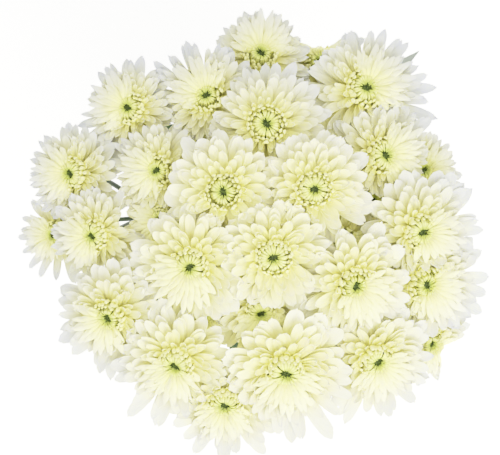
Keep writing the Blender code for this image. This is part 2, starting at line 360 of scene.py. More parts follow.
# a value that goes from low to high while another goes from start to end
def addRange(nodes, links, value, start, end, low=0.0, high=1.0):
    span = nodes.new("ShaderNodeMapRange")
    for label, amount in (("From Min", start), ("From Max", end), ("To Min", low), ("To Max", high)):
        span.inputs[label].default_value = amount
    links.new(value, span.inputs["Value"])
    return span.outputs[0]


def addBump(nodes, links, shader, height, strength, distance):
    bump = nodes.new("ShaderNodeBump")
    bump.inputs["Strength"].default_value = strength
    bump.inputs["Distance"].default_value = distance
    links.new(height, bump.inputs["Height"])
    links.new(bump.outputs[0], shader.inputs["Normal"])


# fine lengthwise veins on a petal, from its own UV map
def buildVeinGroup():
    group = bpy.data.node_groups.new("petalVeins", "ShaderNodeTree")
    group.interface.new_socket("UV", in_out="INPUT", socket_type="NodeSocketVector")
    group.interface.new_socket("Count", in_out="INPUT", socket_type="NodeSocketFloat")
    group.interface.new_socket("Waver", in_out="INPUT", socket_type="NodeSocketFloat")
    group.interface.new_socket("Height", in_out="OUTPUT", socket_type="NodeSocketFloat")
    nodes, links = group.nodes, group.links
    source = nodes.new("NodeGroupInput")
    result = nodes.new("NodeGroupOutput")
    side = splitVector(nodes, links, source.outputs["UV"])[0]
    noise = addNoise(nodes, links, source.outputs["UV"], 3.0)
    sway = addMath(nodes, links, "MULTIPLY", noise, source.outputs["Waver"])
    across = addMath(nodes, links, "MULTIPLY_ADD", side, source.outputs["Count"], sway)
    wave = addMath(nodes, links, "COSINE", addMath(nodes, links, "MULTIPLY", across, 2 * math.pi), 0.0)
    links.new(addMath(nodes, links, "MULTIPLY_ADD", wave, 0.5, 0.5), result.inputs["Height"])
    return group


veinGroup = buildVeinGroup()


# petals: lime at the bloom's middle, cream half way out, white at the tips, with a warmer root
petalFinish = {
    "byReach": (
        (0.04, (0.17, 0.25, 0.02)),
        (0.09, (0.66, 0.75, 0.14)),
        (0.16, (0.91, 0.93, 0.30)),
        (0.26, (0.98, 0.96, 0.41)),
        (0.42, (0.990, 0.958, 0.45)),
        (0.62, (0.990, 0.953, 0.505)),
        (0.84, (0.980, 0.948, 0.575)),
        (1.00, (0.955, 0.938, 0.69)),
    ),
    "root": (0.975, 0.905, 0.36),
    "rootByLength": ((0.0, 1.0), (0.38, 0.45), (0.66, 0.0)),
    "tip": (0.968, 0.948, 0.71),
    "tipByLength": ((0.78, 0.0), (1.0, 0.5)),
    "rim": (0.672, 0.696, 0.735),  # painted shade: a greyer, cooler white on the outer petals round the rim of the bunch, most of all at the far side
    "rimShadeFrom": (0.060, 0.150),  # metres from the rim's middle
    "rimShadeMiddle": (0.010, -0.028),
    "rimShadeReach": (0.28, 1.05),
    "rimShadeShare": 0.95,
    "streak": (0.89, 0.85, 0.44),
    "streakShare": 0.16,
    "seamShade": (0.42, 0.54, 0.10),  # the edges of the boss's florets: their greener colour, and painted shade in the narrow gaps between them
    "seamShadeShare": 0.42,
    "seamShadeFrom": (0.22, 0.5),  # from a floret's middle line to its edge
    "seamShadeReach": (0.33, 0.24),
    "lightness": (0.93, 1.03),
    "veinCount": 6.0,
    "veinWaver": 0.4,
    "bump": (0.45, 0.00012),  # strength, and depth in metres
    "looks": {"Roughness": 0.55, "Subsurface Weight": 0.6, "Subsurface Radius": (0.004, 0.004, 0.002)},
}


def buildPetalMaterial():
    made, nodes, links, shader = newNodeMaterial("chrysanthemumPetal", petalFinish["looks"])
    # how far out from the bloom's axis, how far along the petal, and the petal's own chance
    reach, along, chance = readValues(nodes, links, "petalPlace")
    coloured = addRamp(nodes, links, reach, petalFinish["byReach"])
    for part in ("root", "tip"):
        stops = [(spot, (value,) * 3) for spot, value in petalFinish[part + "ByLength"]]
        share = addRamp(nodes, links, along, stops)
        coloured = addMix(nodes, links, share, coloured, petalFinish[part])
    uv = nodes.new("ShaderNodeUVMap")
    uv.uv_map = "petalUv"
    veins = nodes.new("ShaderNodeGroup")
    veins.node_tree = veinGroup
    veins.inputs["Count"].default_value = petalFinish["veinCount"]
    veins.inputs["Waver"].default_value = petalFinish["veinWaver"]
    links.new(uv.outputs[0], veins.inputs["UV"])
    streaked = addMath(nodes, links, "MULTIPLY", veins.outputs["Height"], petalFinish["streakShare"])
    coloured = addMix(nodes, links, streaked, coloured, petalFinish["streak"])
    # the boss's florets are greener along both edges, and darker there as painted shade in the gaps between
    # them, so that they show as fine ribs
    offset = addMath(nodes, links, "SUBTRACT", splitVector(nodes, links, uv.outputs[0])[0], 0.5)
    edge = addRange(nodes, links, addMath(nodes, links, "ABSOLUTE", offset, 0.0), *petalFinish["seamShadeFrom"])
    inBoss = (*petalFinish["seamShadeReach"], 0.0, petalFinish["seamShadeShare"])
    near = addRange(nodes, links, reach, *inBoss)
    seamShade = addMath(nodes, links, "MULTIPLY", edge, near)
    coloured = addMix(nodes, links, seamShade, coloured, petalFinish["seamShade"])
    # painted shade: round the rim of the bunch the outer petals are greyed to a cooler white, more the
    # farther they are from the rim's middle
    level = nodes.new("ShaderNodeVectorMath")
    level.operation = "MULTIPLY_ADD"
    middleX, middleY = petalFinish["rimShadeMiddle"]
    level.inputs[1].default_value = (1.0, 1.0, 0.0)
    level.inputs[2].default_value = (-middleX, -middleY, 0.0)
    links.new(objectPlace(nodes), level.inputs[0])
    away = nodes.new("ShaderNodeVectorMath")
    away.operation = "LENGTH"
    links.new(level.outputs[0], away.inputs[0])
    rim = addRange(nodes, links, away.outputs["Value"], *petalFinish["rimShadeFrom"])
    outer = addRange(nodes, links, reach, *petalFinish["rimShadeReach"], 0.0, petalFinish["rimShadeShare"])
    rimShadeMask = addMath(nodes, links, "MULTIPLY", rim, outer)
    coloured = addMix(nodes, links, rimShadeMask, coloured, petalFinish["rim"])
    # each petal is a little lighter or darker than the next
    hsv = nodes.new("ShaderNodeHueSaturation")
    lightness = addRange(nodes, links, chance, 0.0, 1.0, *petalFinish["lightness"])
    links.new(lightness, hsv.inputs["Value"])
    links.new(coloured, hsv.inputs["Color"])
    links.new(hsv.outputs[0], shader.inputs["Base Color"])
    addBump(nodes, links, shader, veins.outputs["Height"], *petalFinish["bump"])
    return made


# the eye: unopened dark green buds in the middle of each bloom
eyeFinish = {
    "colours": ((0.35, (0.026, 0.045, 0.004)), (0.65, (0.095, 0.140, 0.012))),
    "grain": (900.0, 3.0),  # the noise's scale and detail
    "bump": (0.5, 0.0003),  # strength, and depth in metres
    "looks": {"Roughness": 0.6},
}


def buildEyeMaterial():
    made, nodes, links, shader = newNodeMaterial("chrysanthemumEye", eyeFinish["looks"])
    noise = addNoise(nodes, links, objectPlace(nodes), *eyeFinish["grain"])
    links.new(addRamp(nodes, links, noise, eyeFinish["colours"]), shader.inputs["Base Color"])
    addBump(nodes, links, shader, noise, *eyeFinish["bump"])
    return made


petalMaterial = buildPetalMaterial()
eyeMaterial = buildEyeMaterial()
print("petal materials ready")


# petals, in shares of the bloom's radius unless a name says otherwise
petals = {
    "count": 104,
    "slenderCount": 124,
    "smallCount": 84,
    "smallBloom": 0.0300,  # metres; a bloom below this has fewer petals
    # the blooms with narrower and more pointed petals, and how narrow these are
    "slender": (1, 2, 3, 4, 5, 6, 7, 9, 11, 16, 17, 27, 30, 31),
    "slenderWidth": 0.76,
    "innerFrom": 0.45,  # share of the petals, from the outermost, that have all the rows
    # faces over the width, and where the rows lie along the length
    "outerGrid": (4, (0.0, 0.20, 0.40, 0.58, 0.73, 0.86, 0.955, 1.0)),
    "innerGrid": (4, (0.0, 0.26, 0.52, 0.74, 0.90, 1.0)),
    "floretGrid": (2, (0.0, 0.30, 0.56, 0.78, 0.93, 1.0)),
    # reach, root, bow and half width are given for the outermost petals and then for the innermost ones
    "reach": (1.22, 0.38),
    "reachCurve": 1.05,
    "reachSpread": (0.90, 1.04),
    "wander": 0.10,  # radians off the golden angle
    # how high the tips are at each reach
    "tipHeights": (
        (0.0, 0.02), (0.36, 0.04), (0.49, 0.03), (0.71, -0.05), (0.91, -0.16), (1.0, -0.24), (1.15, -0.38),
    ),
    "heightSpread": 0.03,
    "rootOut": (0.15, 0.06),
    "rootUp": (-0.52, -0.26),
    "bow": (0.03, -0.09),
    "bowSpread": 0.03,
    # the two middle points of a petal's curve, in shares of the way from its root to its tip
    "near": (0.30, 0.40),
    "far": (0.72, 0.76),
    "nearLift": 0.05,
    "innerFarther": 0.20,  # how much farther out the second of them is on the innermost petals
    "halfWidth": (0.180, 0.046),
    "widthCurve": 0.80,
    "widthSpread": (0.82, 1.10),
    "freeShare": 1.16,  # of the way to a neighbour's wall, before a petal starts to stand up
    "freeSpread": 0.06,
    "spareShare": 0.22,
    "standUp": 0.55,  # how much a petal rises for the reach that it has no room for
    "standUpMost": 0.16,
    # a petal's chance decides its tip: notched below the first share, toothed below the next,
    # and pointed above the last
    "notched": 0.20,
    "toothed": 0.45,
    "notch": 0.055,
    "teeth": 0.035,
    "pointedFrom": 0.80,
    "slenderPointedFrom": 0.45,
    "pointedTip": 0.08,
    "bluntTip": (0.28, 0.46),
    "tipRound": 0.045,
    "twist": 0.26,
    "cup": (0.0, 0.35),
    "innerCup": 0.30,
    "groove": -0.04,
    "bend": 0.035,
    "thickness": 0.00032,  # metres
    "sharpFrom": math.radians(50),
    "goldenAngle": math.radians(137.508),
}

# a petal's outline: a narrow claw, then its full width, then rounded shoulders; cupLevel says where
# over its width a cupped petal is level with its curve
outline = {"claw": 0.34, "clawEnd": 0.58, "shoulder": 0.62, "roundness": 1.8, "cupLevel": 0.3}

# what the short florets have in common
floretShape = {"grid": "floretGrid", "tipRound": 0.04, "notch": 0.0, "teeth": 0.0, "groove": 0.0, "ripe": 0.8}

# the rings of short narrow florets round the boss, with tips that hook inwards and show as beads
quills = {
    "rings": ((23, 0.335, 0.040), (19, 0.275, 0.050)),  # how many, reach, height
    "ringed": (5, 8, 9, 10, 14),  # the blooms whose rings are whole, whichever way they lean
    "wander": 0.06,
    "reachSpread": (0.92, 1.08),
    "heightSpread": (-0.04, 0.02),
    "root": (0.10, -0.32),
    "footHeight": -0.28,
    "hook": (0.95, 1.14, 0.84),  # how far out a floret's foot, bow and tip are, in shares of its reach
    "bowUp": 0.06,
    "halfWidth": 0.040,
    "widthSpread": (0.85, 1.15),
    "twist": 0.2,
    "bend": 0.012,
    "shape": {**floretShape, "tipWidth": 0.60, "tipRound": 0.05, "cup": 0.6, "ripe": 0.6},
}

# the florets that fan outwards from the eye over the petals, on the low side of a bloom that leans
sweep = {
    "leanFrom": 0.17,
    "half": 1.40,  # radians to either side of the way that the bloom leans
    # how many, reach, half width, height over the petals
    "rows": ((11, 0.89, 0.084, 0.000), (13, 0.72, 0.064, 0.015), (13, 0.52, 0.048, 0.030)),
    "stagger": (0.2, 0.8),
    "reachSpread": (0.88, 1.10),
    "taper": 0.42,
    "sink": 0.09,  # how far they sink among the petals at the sweep's edges
    "free": 1.08,  # of the way to a neighbour's wall
    "root": (0.10, -0.12),
    "crest": (0.15, 0.10),  # where a floret comes out over the boss, and how high
    "shoulder": (0.24, 0.12),  # how far out it stays as high, and how much farther for its reach
    "heightSpread": (0.0, 0.025),
    "widthSpread": (0.80, 1.15),
    "tipWidth": (0.38, 0.70),
    "twist": 0.22,
    "bend": 0.03,
    "shape": {**floretShape, "grid": "innerGrid", "tipRound": 0.07, "cup": -0.30, "groove": -0.05},
    "narrowing": 0.25,  # how much narrower the petals beyond are
}

# the incurved florets of the boss, which close over the eye
boss = {
    # how many, half width, and the curve
    "rings": (
        (15, 0.018, ((0.07, -0.30), (0.25, -0.22), (0.16, 0.11), (0.055, -0.04))),
        (24, 0.021, ((0.10, -0.32), (0.35, -0.24), (0.24, 0.15), (0.085, 0.01))),
    ),
    "sizes": (0.80, 1.10),  # some blooms' bosses are still small and tight
    "growth": (0.93, 1.08),
    "wander": 0.03,
    "slit": 0.018,  # how much longer than wide the opening over the eye is
    "tipSpread": (-0.01, 0.015),
    "tipLift": 0.02,
    "widthSpread": (0.85, 1.1),
    "twist": 0.18,
    "bend": 0.006,
    "shape": {**floretShape, "tipWidth": 0.35, "cup": 0.55},
}

# the closed heart under the petals, and the dark buds in the eye
heart = {
    "seat": 0.005,
    "top": -0.30,
    "lowRadius": 0.165,
    "highRadius": 0.22,
    "sides": 14,
    "tint": (0.3, 0.0, 0.5),  # the petal values that give its colour
    "eyeRadius": 0.11,
    "eyeDepth": 0.09,
    "eyeHeight": 0.5,  # of its width
    "eyeSides": (12, 6),
    "buds": 9,
    "budFirst": 0.3,  # keeps the first bud a little off the middle
    "budReach": 0.085,
    "budRadius": 0.019,
    "budRise": 0.065,
    "budSpread": (0.9, 1.1),
}


def between(stops, value):
    for (low, first), (high, second) in zip(stops, stops[1:]):
        if value <= high:
            return first + (second - first) * max(0.0, (value - low) / (high - low))
    return stops[-1][1]


def partWay(first, second, share):
    return first + (second - first) * share


def blended(shares, points):
    return [sum(share * part for share, part in zip(shares, parts)) for parts in zip(*points)]


def curvePoint(points, t):
    u = 1 - t
    return blended((u ** 3, 3 * u * u * t, 3 * u * t * t, t ** 3), points)


def curveWay(points, t):
    u = 1 - t
    steps = [(b[0] - a[0], b[1] - a[1]) for a, b in zip(points, points[1:])]
    radial, height = blended((u * u, 2 * u * t, t * t), steps)
    length = math.hypot(radial, height)
    return radial / length, height / length


def smoothed(share):
    return share * share * (3 - 2 * share)


def widthAt(u, tipWidth):
    swell = smoothed(min(1.0, u / outline["clawEnd"]))
    claw = outline["claw"] + (1 - outline["claw"]) * swell
    past = max(0.0, (u - outline["shoulder"]) / (1 - outline["shoulder"]))
    return claw * (tipWidth + (1 - tipWidth) * math.sqrt(max(0.0, 1 - past ** outline["roundness"])))


# a grid's UV map and the looks of its faces; its rows lie at these shares of its length
def finishGrid(verts, uvLayer, lanes, rows, slot=0):
    for index, vert in enumerate(verts):
        row, column = divmod(index, lanes + 1)
        for loop in vert.link_loops:
            loop[uvLayer].uv = (column / lanes, rows[row])
    for face in {face for vert in verts for face in vert.link_faces}:
        face.smooth = True
        face.material_index = slot


# one petal: a small grid laid along a curve that leaves the bloom's heart in the plane of its angle
def addPetal(bm, layers, head, angle, curve, shape, chance):
    uvLayer, placeLayer = layers
    lanes, rows = petals[shape["grid"]]
    made = bmesh.ops.create_grid(bm, x_segments=lanes, y_segments=len(rows) - 1, size=1.0)
    size = head.radius
    turned = Matrix.Rotation(angle, 3, "Z")
    sideways = turned @ Vector((0, 1, 0))
    for vert in made["verts"]:
        v = vert.co.x
        row = round((vert.co.y + 1) / 2 * (len(rows) - 1))
        u = rows[row]
        tooth = 0.5 - 0.5 * math.cos(2 * math.pi * v)
        torn = shape["notch"] * max(0.0, 1 - 2 * abs(v)) + shape["teeth"] * tooth
        t = u - shape["tipRound"] * v * v * u ** 5 - torn * u ** 8
        radial, height = curvePoint(curve, t)
        wayRadial, wayHeight = curveWay(curve, t)
        way = turned @ Vector((wayRadial, 0, wayHeight))
        inward = turned @ Vector((-wayHeight, 0, wayRadial))
        side = Quaternion(way, shape["twist"] * u) @ sideways
        half = shape["halfWidth"] * widthAt(u, shape["tipWidth"])
        cupped = shape["cup"] * half * (v * v - outline["cupLevel"])
        lift = cupped + shape["groove"] * half * math.cos(math.pi * 2 * v)
        spot = turned @ Vector((radial, 0, height))
        spot += side * (half * v + shape["bend"] * u * u) + inward * lift
        vert.co = spot * size
        reach = math.hypot(spot.x, spot.y)
        vert[placeLayer] = (reach, u * shape["ripe"], chance)
    finishGrid(made["verts"], uvLayer, lanes, rows)


# gives every sheet a front, the same all over, and closes the rim between front and back
def thicken(bm, thickness):
    wayLayer = bm.verts.layers.float_vector["way"]
    bm.normal_update()
    for vert in bm.verts:
        vert[wayLayer] = vert.normal
    backs = bm.faces[:]
    made = bmesh.ops.extrude_face_region(bm, geom=backs, use_keep_orig=True)
    fronts = [part for part in made["geom"] if isinstance(part, bmesh.types.BMVert)]
    for vert in fronts:
        vert.co += vert[wayLayer] * thickness
    bmesh.ops.reverse_faces(bm, faces=backs)
    for edge in bm.edges:
        if len(edge.link_faces) == 2 and edge.calc_face_angle(0) > petals["sharpFrom"]:
            edge.smooth = False
    return fronts


# how much of a sweep a bloom has in a direction: 1 straight down its lean, 0 from the sweep's edges on
def sweepShare(head, angle):
    if head.downhill.length < sweep["leanFrom"] or head.seed in quills["ringed"]:
        return 0.0
    off = math.remainder(angle - head.low, 2 * math.pi) / sweep["half"]
    return max(0.0, 1 - off * off)


def tipAt(head, angle, reach, height):
    return Vector((math.cos(angle) * reach, math.sin(angle) * reach, height)) * head.radius


# the share of its reach that a petal has room for beside its neighbours
def roomFor(head, tip, free):
    share = head.crowding(tip)
    if share <= free:
        return 1.0
    spare = petals["spareShare"]
    return (free + spare * math.tanh((share - free) / spare)) / share


# some tips are notched, some toothed and some pointed, and the inner petals are more cupped
def petalShape(draw, s, half, slender):
    kind = draw.random()
    pointed = kind > petals["slenderPointedFrom" if slender else "pointedFrom"]
    return {
        "grid": "outerGrid" if s < petals["innerFrom"] else "innerGrid",
        "halfWidth": half,
        "tipWidth": petals["pointedTip"] if pointed else draw.uniform(*petals["bluntTip"]),
        "tipRound": petals["tipRound"],
        "notch": petals["notch"] if kind < petals["notched"] else 0.0,
        "teeth": petals["teeth"] if petals["notched"] < kind < petals["toothed"] else 0.0,
        "twist": draw.gauss(0, petals["twist"]),
        "cup": draw.uniform(*petals["cup"]) + petals["innerCup"] * smoothed(s),
        "groove": petals["groove"],
        "bend": draw.gauss(0, petals["bend"]),
        "ripe": 1.0,
    }


# a short floret of a kind, with its own width, tip, twist and bend
def floretOf(kind, half, draw):
    shape = {**kind["shape"], "halfWidth": half * draw.uniform(*kind["widthSpread"])}
    if "tipWidth" in kind:
        shape["tipWidth"] = draw.uniform(*kind["tipWidth"])
    for bent in ("twist", "bend"):
        shape[bent] = draw.gauss(0, kind[bent])
    return shape


# the petals proper, from the outermost inwards, each turned by the golden angle from the last
def addPetals(bm, layers, head, draw):
    slender = head.seed in petals["slender"]
    if head.radius < petals["smallBloom"]:
        count = petals["smallCount"]
    else:
        count = petals["slenderCount"] if slender else petals["count"]
    broad = petals["slenderWidth"] if slender else 1.0
    start = draw.uniform(0, 2 * math.pi)
    for number in range(count):
        s = number / (count - 1)
        angle = start + number * petals["goldenAngle"] + draw.gauss(0, petals["wander"])
        reach = partWay(*petals["reach"], s ** petals["reachCurve"])
        reach *= draw.uniform(*petals["reachSpread"])
        rise = draw.uniform(-petals["heightSpread"], petals["heightSpread"])
        tipHeight = between(petals["tipHeights"], reach) + rise
        reach *= 1 + (head.growth(angle) - 1) * (1 - s)
        half = partWay(*petals["halfWidth"], s ** petals["widthCurve"])
        half *= draw.uniform(*petals["widthSpread"]) * broad
        half *= 1 - sweep["narrowing"] * sweepShare(head, angle)
        free = petals["freeShare"] + draw.uniform(-petals["freeSpread"], petals["freeSpread"])
        pull = roomFor(head, tipAt(head, angle, reach, tipHeight), free)
        rootRadial, rootHeight = partWay(*petals["rootOut"], s), partWay(*petals["rootUp"], s)
        # a petal with no room stands up instead of out
        tipRadial = rootRadial + (reach - rootRadial) * pull
        tipHeight += min(petals["standUpMost"], petals["standUp"] * (reach - tipRadial))
        trim = head.clearance(angle, tipRadial, tipHeight, half)
        tipRadial *= trim
        half *= (1 + trim) / 2
        bow = partWay(*petals["bow"], s) + draw.uniform(-petals["bowSpread"], petals["bowSpread"])
        run, climb = tipRadial - rootRadial, tipHeight - rootHeight
        (nearOut, nearUp), (farOut, farUp) = petals["near"], petals["far"]
        farOut += petals["innerFarther"] * smoothed(s)
        second = (rootRadial + run * nearOut, rootHeight + climb * nearUp + petals["nearLift"])
        third = (rootRadial + run * farOut, rootHeight + climb * farUp + bow)
        curve = ((rootRadial, rootHeight), second, third, (tipRadial, tipHeight))
        addPetal(bm, layers, head, angle, curve, petalShape(draw, s, half, slender), draw.random())


# short florets stand up round the boss, but not on the low side of a bloom that leans
def addQuills(bm, layers, head, draw):
    places = []
    for count, reach, height in quills["rings"]:
        start = draw.uniform(0, 2 * math.pi)
        places += [(start + k * 2 * math.pi / count, reach, height) for k in range(count)]
    foot, bow, last = quills["hook"]
    for angle, reach, height in places:
        angle += draw.gauss(0, quills["wander"])
        reach *= draw.uniform(*quills["reachSpread"])
        height += draw.uniform(*quills["heightSpread"])
        if sweepShare(head, angle) > 0:
            continue
        second, third = (reach * foot, quills["footHeight"]), (reach * bow, height + quills["bowUp"])
        curve = (quills["root"], second, third, (reach * last, height))
        addPetal(bm, layers, head, angle, curve, floretOf(quills, quills["halfWidth"], draw), draw.random())


# on the low side of a bloom that leans, florets lie outwards in rows from the eye, over the petals
def addSweep(bm, layers, head, draw):
    (rootOut, rootUp), (crestOut, crestUp) = sweep["root"], sweep["crest"]
    shoulder, farther = sweep["shoulder"]
    for count, far, half, over in sweep["rows"]:
        for number in range(count):
            side = 2 * (number + draw.uniform(*sweep["stagger"])) / count - 1
            angle = head.low + sweep["half"] * side
            reach = far * draw.uniform(*sweep["reachSpread"]) * (1 - sweep["taper"] * side * side)
            sunk = over - sweep["sink"] * side * side
            tipHeight = between(petals["tipHeights"], reach) + sunk + draw.uniform(*sweep["heightSpread"])
            crowded = head.crowding(tipAt(head, angle, reach, tipHeight))
            reach *= min(1.0, sweep["free"] / max(0.1, crowded))
            reach *= head.clearance(angle, reach, tipHeight, half)
            third = (shoulder + farther * reach, sunk + crestUp)
            curve = ((rootOut, sunk + rootUp), (crestOut, sunk + crestUp), third, (reach, tipHeight))
            addPetal(bm, layers, head, angle, curve, floretOf(sweep, half, draw), draw.random())


def addBoss(bm, layers, head, draw):
    slitAngle = draw.uniform(0, math.pi)
    bossSize = draw.uniform(*boss["sizes"])
    for count, half, ringCurve in boss["rings"]:
        start = draw.uniform(0, 2 * math.pi)
        for number in range(count):
            angle = start + number * 2 * math.pi / count + draw.gauss(0, boss["wander"])
            grow = bossSize * draw.uniform(*boss["growth"])
            curve = [(radial * grow, height) for radial, height in ringCurve]
            stretch = boss["slit"] * math.cos(2 * (angle - slitAngle))
            radial, height = ringCurve[-1]
            radial += stretch + draw.uniform(*boss["tipSpread"])
            curve[-1] = (radial, height + draw.uniform(-boss["tipLift"], boss["tipLift"]))
            addPetal(bm, layers, head, angle, curve, floretOf(boss, half * bossSize, draw), draw.random())


def addHeart(bm, layers, head, draw):
    size = head.radius
    before = set(bm.faces)
    low, high = heart["seat"] - bunch["baseDepth"], heart["top"]
    place = Matrix.Translation((0, 0, (low + high) / 2 * size))
    bmesh.ops.create_cone(bm, segments=heart["sides"], radius1=heart["lowRadius"] * size,
                          radius2=heart["highRadius"] * size, depth=(high - low) * size,
                          cap_ends=True, matrix=place)
    for face in set(bm.faces) - before:
        face.smooth = len(face.verts) == 4
        for vert in face.verts:
            vert[layers[1]] = heart["tint"]
    before = set(bm.faces)
    flattened = Matrix.Diagonal((1, 1, heart["eyeHeight"], 1))
    pit = Matrix.Translation((0, 0, -heart["eyeDepth"] * size)) @ flattened
    around, upright = heart["eyeSides"]
    bmesh.ops.create_uvsphere(bm, u_segments=around, v_segments=upright,
                              radius=heart["eyeRadius"] * size, matrix=pit)
    for number in range(heart["buds"]):
        angle = number * petals["goldenAngle"]
        out = heart["budReach"] * math.sqrt((number + heart["budFirst"]) / heart["buds"]) * size
        height = (heart["budRise"] - heart["eyeDepth"]) * size * draw.uniform(*heart["budSpread"])
        spot = Matrix.Translation((math.cos(angle) * out, math.sin(angle) * out, height))
        bmesh.ops.create_icosphere(bm, subdivisions=1, radius=heart["budRadius"] * size, matrix=spot)
    for face in set(bm.faces) - before:
        face.smooth = True
        face.material_index = 1


def buildBloom(head):
    draw = random.Random(head.seed * 17)
    bm = bmesh.new()
    layers = (bm.loops.layers.uv.new("petalUv"), bm.verts.layers.float_vector.new("petalPlace"))
    bm.verts.layers.float_vector.new("way")
    addPetals(bm, layers, head, draw)
    addQuills(bm, layers, head, draw)
    if sweepShare(head, head.low) > 0:
        addSweep(bm, layers, head, draw)
    addBoss(bm, layers, head, draw)
    thicken(bm, petals["thickness"])
    addHeart(bm, layers, head, draw)
    # the top leans over a little while the base stays on its cup
    leaning = head.place.to_3x3().inverted() @ head.topLean
    for vert in bm.verts:
        rise = (vert.co.z / head.radius + bunch["topLeanFrom"]) / bunch["topLeanOver"]
        vert.co += leaning * smoothed(min(1.0, max(0.0, rise)))
    bmesh.ops.transform(bm, matrix=head.place, verts=bm.verts[:])
    piece = addObject("petals_" + head.name, bm, (petalMaterial, eyeMaterial))
    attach(piece, "root")
    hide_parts(head.name)
    return piece


faceTotal = 0
for head in heads:
    faceTotal += len(buildBloom(head).data.polygons)
print("blooms built:", len(heads), "with", faceTotal, "faces")


# green stems with paler ridges and a fine streak along them
stemFinish = {
    "greens": ((0.36, (0.008, 0.020, 0.004)), (0.64, (0.032, 0.060, 0.013))),
    "ridge": (0.055, 0.092, 0.025),
    "streak": (38.0, 120.0),  # round the stem and along it
    "streakNoise": (1.0, 3.0),
    "streakShare": 0.6,
    "patches": 55.0,
    "patchShare": 0.4,
    "bump": (0.4, 0.0002),
    "looks": {"Roughness": 0.5, "Sheen Weight": 0.10},
}


def buildStemMaterial():
    made, nodes, links, shader = newNodeMaterial("stemGreen", stemFinish["looks"])
    # the share of the way round the stem, metres along it, and how far up on a ridge
    *places, ridge = readValues(nodes, links, "stemPlace")
    stretched = nodes.new("ShaderNodeCombineXYZ")
    for slot, (place, stretch) in enumerate(zip(places, stemFinish["streak"])):
        links.new(addMath(nodes, links, "MULTIPLY", place, stretch), stretched.inputs[slot])
    streaks = addNoise(nodes, links, stretched.outputs[0], *stemFinish["streakNoise"])
    patches = addNoise(nodes, links, objectPlace(nodes), stemFinish["patches"])
    blotch = addMath(nodes, links, "MULTIPLY", patches, stemFinish["patchShare"])
    mottled = addMath(nodes, links, "MULTIPLY_ADD", streaks, stemFinish["streakShare"], blotch)
    green = addRamp(nodes, links, mottled, stemFinish["greens"])
    coloured = addMix(nodes, links, ridge, green, stemFinish["ridge"])
    links.new(coloured, shader.inputs["Base Color"])
    addBump(nodes, links, shader, streaks, *stemFinish["bump"])
    return made


# leaves: dull dark green above, paler below, with sunken veins
leafFinish = {
    "top": ((0.35, (0.014, 0.045, 0.009)), (0.70, (0.038, 0.088, 0.020))),
    "under": (0.085, 0.140, 0.060),
    "vein": (0.085, 0.140, 0.045),
    # painted highlight: a pale grey sheen, for the narrow leaf tip that shows past the blooms
    "paintedSheen": (0.420, 0.450, 0.400),
    "sideVeins": 6.5,
    "sideSlant": 0.42,
    "midribSharpness": 22.0,
    "sideVeinSharpness": 14.0,
    "veinShare": 0.6,
    "grain": (220.0, 4.0),
    "grainShare": 0.25,
    "bump": (0.6, 0.0004),
    "looks": {"Roughness": 0.6, "Sheen Weight": 0.2},
}


def buildLeafMaterial():
    made, nodes, links, shader = newNodeMaterial("leafGreen", leafFinish["looks"])
    upper, paintedSheen = readValues(nodes, links, "leafPlace")[:2]
    uv = nodes.new("ShaderNodeUVMap")
    uv.uv_map = "petalUv"
    across, along = splitVector(nodes, links, uv.outputs[0])[:2]
    offset = addMath(nodes, links, "SUBTRACT", across, 0.5)
    side = addMath(nodes, links, "ABSOLUTE", offset, 0.0)
    ridge = addMath(nodes, links, "MULTIPLY_ADD", side, -leafFinish["midribSharpness"], 1.0)
    rib = addMath(nodes, links, "MAXIMUM", ridge, 0.0)
    slanted = addMath(nodes, links, "MULTIPLY_ADD", side, -leafFinish["sideSlant"], along)
    turns = addMath(nodes, links, "MULTIPLY", slanted, 2 * math.pi * leafFinish["sideVeins"])
    wave = addMath(nodes, links, "MULTIPLY_ADD", addMath(nodes, links, "COSINE", turns, 0.0), 0.5, 0.5)
    fine = addMath(nodes, links, "POWER", wave, leafFinish["sideVeinSharpness"])
    veins = addMath(nodes, links, "MAXIMUM", rib, fine)
    noise = addNoise(nodes, links, objectPlace(nodes), *leafFinish["grain"])
    sided = addMix(nodes, links, upper, leafFinish["under"], addRamp(nodes, links, noise, leafFinish["top"]))
    shown = addMath(nodes, links, "MULTIPLY", veins, leafFinish["veinShare"])
    veined = addMix(nodes, links, shown, sided, leafFinish["vein"])
    # painted highlight: where a leaf has painted sheen, its colour goes towards a pale grey
    coloured = addMix(nodes, links, paintedSheen, veined, leafFinish["paintedSheen"])
    links.new(coloured, shader.inputs["Base Color"])
    sunk = addMath(nodes, links, "MULTIPLY", veins, -1.0)
    surface = addMath(nodes, links, "MULTIPLY_ADD", noise, leafFinish["grainShare"], sunk)
    addBump(nodes, links, shader, surface, *leafFinish["bump"])
    return made


# the pale pith of the cut stem ends
pithFinish = {
    "colours": ((0.1, (0.62, 0.66, 0.42)), (0.8, (0.30, 0.40, 0.14))),
    "grain": 2600.0,
    "looks": {"Roughness": 0.7},
}


def buildPithMaterial():
    made, nodes, links, shader = newNodeMaterial("cutPith", pithFinish["looks"])
    cells = nodes.new("ShaderNodeTexVoronoi")
    cells.inputs["Scale"].default_value = pithFinish["grain"]
    links.new(objectPlace(nodes), cells.inputs["Vector"])
    coloured = addRamp(nodes, links, cells.outputs["Distance"], pithFinish["colours"])
    links.new(coloured, shader.inputs["Base Color"])
    return made


stemMaterial = buildStemMaterial()
leafMaterial = buildLeafMaterial()
pithMaterial = buildPithMaterial()
print("green materials ready")


